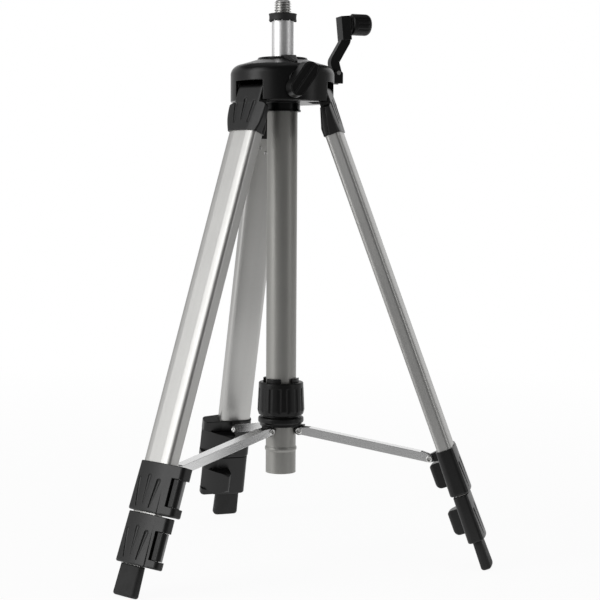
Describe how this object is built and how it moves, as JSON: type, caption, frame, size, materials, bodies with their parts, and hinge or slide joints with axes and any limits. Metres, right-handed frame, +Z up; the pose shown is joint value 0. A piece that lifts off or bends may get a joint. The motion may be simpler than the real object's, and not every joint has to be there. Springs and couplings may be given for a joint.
{
  "type": "surveying tripod",
  "caption": "Folding surveying tripod with telescopic flip-lock legs, a braced sliding hub, and a crank-raised column topped by a threaded stud on a round platform.",
  "frame": {"origin": "on the column axis, at the top of the platform that an instrument seats on", "axes": "+Z up along the column and the stud, +Y towards the rear leg, +X towards the crank"},
  "size_m": [0.3528, 0.3155, 0.5164],
  "materials": {
    "head_plastic": "fine moulded texture",
    "collar_plastic": "moulded",
    "control_plastic": "moulded",
    "tube_aluminium": "satin anodised",
    "column_aluminium": "brushed",
    "stud_steel": "bright plated",
    "pin_steel": "plated",
    "hub_plastic": "moulded",
    "brace_aluminium": "satin",
    "rivet_steel": "bright",
    "leg_plastic": "fine moulded texture",
    "leg_aluminium": "satin anodised",
    "foot_rubber": "matt"
  },
  "bodies": {
    "head": {"head_cover": "head_plastic", "head_base": "head_plastic", "outer_tube": "tube_aluminium", "column_bush": "collar_plastic", "leg_pivot_pins": "pin_steel"},
    "column": {"column_tube": "column_aluminium", "column_rack": "collar_plastic", "platform_flange": "collar_plastic", "mounting_stud": "stud_steel", "column_end_plug": "collar_plastic"},
    "crank": {"crank_shaft": "pin_steel", "crank_clevis": "control_plastic", "crank_hinge_pin": "pin_steel"},
    "crank_arm": {"crank_arm": "control_plastic", "grip_axle": "pin_steel"},
    "crank_grip": {"crank_grip": "control_plastic"},
    "lock": {"lock_knob": "control_plastic", "lock_screw": "pin_steel"},
    "lock_pad": {"lock_pad": "collar_plastic"},
    "hub": {"brace_hub": "hub_plastic"},
    "hub_nut": {"hub_lock_nut": "hub_plastic"},
    "rear_brace": {"rear_brace": "brace_aluminium", "rear_brace_rivets": "rivet_steel"},
    "rear_leg": {"rear_hinge_block": "leg_plastic", "rear_upper_tube": "leg_aluminium", "rear_upper_clamp": "leg_plastic", "rear_upper_lever_pin": "pin_steel"},
    "rear_upper_lever": {"rear_upper_lever": "leg_plastic"},
    "rear_middle": {"rear_middle_tube": "leg_aluminium", "rear_lower_clamp": "leg_plastic", "rear_lower_lever_pin": "pin_steel"},
    "rear_lower_lever": {"rear_lower_lever": "leg_plastic"},
    "rear_lower": {"rear_lower_tube": "leg_aluminium", "rear_foot": "foot_rubber"},
    "left_brace": {"left_brace": "brace_aluminium", "left_brace_rivets": "rivet_steel"},
    "left_leg": {"left_hinge_block": "leg_plastic", "left_upper_tube": "leg_aluminium", "left_upper_clamp": "leg_plastic", "left_upper_lever_pin": "pin_steel"},
    "left_upper_lever": {"left_upper_lever": "leg_plastic"},
    "left_middle": {"left_middle_tube": "leg_aluminium", "left_lower_clamp": "leg_plastic", "left_lower_lever_pin": "pin_steel"},
    "left_lower_lever": {"left_lower_lever": "leg_plastic"},
    "left_lower": {"left_lower_tube": "leg_aluminium", "left_foot": "foot_rubber"},
    "right_brace": {"right_brace": "brace_aluminium", "right_brace_rivets": "rivet_steel"},
    "right_leg": {"right_hinge_block": "leg_plastic", "right_upper_tube": "leg_aluminium", "right_upper_clamp": "leg_plastic", "right_upper_lever_pin": "pin_steel"},
    "right_upper_lever": {"right_upper_lever": "leg_plastic"},
    "right_middle": {"right_middle_tube": "leg_aluminium", "right_lower_clamp": "leg_plastic", "right_lower_lever_pin": "pin_steel"},
    "right_lower_lever": {"right_lower_lever": "leg_plastic"},
    "right_lower": {"right_lower_tube": "leg_aluminium", "right_foot": "foot_rubber"}
  },
  "joints": [
    {"name": "column_lift", "type": "slide", "parent": "head", "child": "column", "axis": [0, 0, 1], "range_m": [-0.03, 0.24]},
    {"name": "crank_turn", "type": "hinge", "parent": "head", "child": "crank", "pos_m": [0, 0.01362, -0.0573], "axis": [-1, 0, 0], "range_deg": [-361, 2881]},
    {"name": "arm_fold", "type": "hinge", "parent": "crank", "child": "crank_arm", "pos_m": [0.0572, 0.01362, -0.051], "axis": [0, -1, 0], "range_deg": [-165, 0]},
    {"name": "grip_spin", "type": "hinge", "parent": "crank_arm", "child": "crank_grip", "pos_m": [0.0772, 0.01362, -0.0051], "axis": [1, 0, 0], "continuous": true},
    {"name": "lock_turn", "type": "hinge", "parent": "head", "child": "lock", "pos_m": [0, -0.0485, -0.0627], "axis": [0, -1, 0], "range_deg": [0, 180]},
    {"name": "pad_press", "type": "slide", "parent": "head", "child": "lock_pad", "axis": [0, -1, 0], "range_m": [0, 0.0005]},
    {"name": "hub_slide", "type": "slide", "parent": "head", "child": "hub", "axis": [0, 0, 1], "range_m": [0, 0.08751]},
    {"name": "nut_turn", "type": "hinge", "parent": "hub", "child": "hub_nut", "pos_m": [0, 0, -0.3382], "axis": [0, 0, 1], "range_deg": [0, 120]},
    {"name": "rear_brace_fold", "type": "hinge", "parent": "hub", "child": "rear_brace", "pos_m": [0, 0.01807, -0.3831], "axis": [-1, 0, 0], "range_deg": [0, 79.93]},
    {"name": "rear_leg_fold", "type": "hinge", "parent": "rear_brace", "child": "rear_leg", "pos_m": [0, 0.13973, -0.40476], "axis": [1, 0, 0], "range_deg": [0, 59.69]},
    {"name": "rear_upper_lever_flip", "type": "hinge", "parent": "rear_leg", "child": "rear_upper_lever", "pos_m": [-0.0288, 0.16214, -0.41301], "axis": [0, -0.346, 0.9383], "range_deg": [-110, 0]},
    {"name": "rear_middle_slide", "type": "slide", "parent": "rear_leg", "child": "rear_middle", "axis": [0, 0.346, -0.9383], "range_m": [0, 0.23]},
    {"name": "rear_lower_lever_flip", "type": "hinge", "parent": "rear_middle", "child": "rear_lower_lever", "pos_m": [-0.0244, 0.17624, -0.45471], "axis": [0, -0.346, 0.9383], "range_deg": [-110, 0]},
    {"name": "rear_lower_slide", "type": "slide", "parent": "rear_middle", "child": "rear_lower", "axis": [0, 0.346, -0.9383], "range_m": [0, 0.23]},
    {"name": "left_brace_fold", "type": "hinge", "parent": "hub", "child": "left_brace", "pos_m": [-0.01565, -0.00903, -0.3831], "axis": [0.5, -0.866, 0], "range_deg": [0, 79.93]},
    {"name": "left_leg_fold", "type": "hinge", "parent": "left_brace", "child": "left_leg", "pos_m": [-0.12101, -0.06986, -0.40476], "axis": [-0.5, 0.866, 0], "range_deg": [0, 59.69]},
    {"name": "left_upper_lever_flip", "type": "hinge", "parent": "left_leg", "child": "left_upper_lever", "pos_m": [-0.12602, -0.10601, -0.41301], "axis": [0.2996, 0.173, 0.9383], "range_deg": [-110, 0]},
    {"name": "left_middle_slide", "type": "slide", "parent": "left_leg", "child": "left_middle", "axis": [-0.2996, -0.173, -0.9383], "range_m": [0, 0.23]},
    {"name": "left_lower_lever_flip", "type": "hinge", "parent": "left_middle", "child": "left_lower_lever", "pos_m": [-0.14043, -0.10925, -0.45471], "axis": [0.2996, 0.173, 0.9383], "range_deg": [-110, 0]},
    {"name": "left_lower_slide", "type": "slide", "parent": "left_middle", "child": "left_lower", "axis": [-0.2996, -0.173, -0.9383], "range_m": [0, 0.23]},
    {"name": "right_brace_fold", "type": "hinge", "parent": "hub", "child": "right_brace", "pos_m": [0.01565, -0.00903, -0.3831], "axis": [0.5, 0.866, 0], "range_deg": [0, 79.93]},
    {"name": "right_leg_fold", "type": "hinge", "parent": "right_brace", "child": "right_leg", "pos_m": [0.12101, -0.06986, -0.40476], "axis": [-0.5, -0.866, 0], "range_deg": [0, 59.69]},
    {"name": "right_upper_lever_flip", "type": "hinge", "parent": "right_leg", "child": "right_upper_lever", "pos_m": [0.15482, -0.05613, -0.41301], "axis": [-0.2996, 0.173, 0.9383], "range_deg": [-110, 0]},
    {"name": "right_middle_slide", "type": "slide", "parent": "right_leg", "child": "right_middle", "axis": [0.2996, -0.173, -0.9383], "range_m": [0, 0.23]},
    {"name": "right_lower_lever_flip", "type": "hinge", "parent": "right_middle", "child": "right_lower_lever", "pos_m": [0.16483, -0.06699, -0.45471], "axis": [-0.2996, 0.173, 0.9383], "range_deg": [-110, 0]},
    {"name": "right_lower_slide", "type": "slide", "parent": "right_middle", "child": "right_lower", "axis": [0.2996, -0.173, -0.9383], "range_m": [0, 0.23]}
  ],
  "couplings": [
    {"joint": "crank_turn", "follows": "column_lift", "rad_per_m": 209.44},
    {"joint": "pad_press", "follows": "lock_turn", "m_per_rad": 0.000159},
    {"joint": "rear_brace_fold", "follows": "hub_slide", "rad_per_m": 15.937},
    {"joint": "rear_leg_fold", "follows": "hub_slide", "rad_per_m": 11.9},
    {"joint": "left_brace_fold", "follows": "hub_slide", "rad_per_m": 15.937},
    {"joint": "left_leg_fold", "follows": "hub_slide", "rad_per_m": 11.9},
    {"joint": "right_brace_fold", "follows": "hub_slide", "rad_per_m": 15.937},
    {"joint": "right_leg_fold", "follows": "hub_slide", "rad_per_m": 11.9}
  ]
}
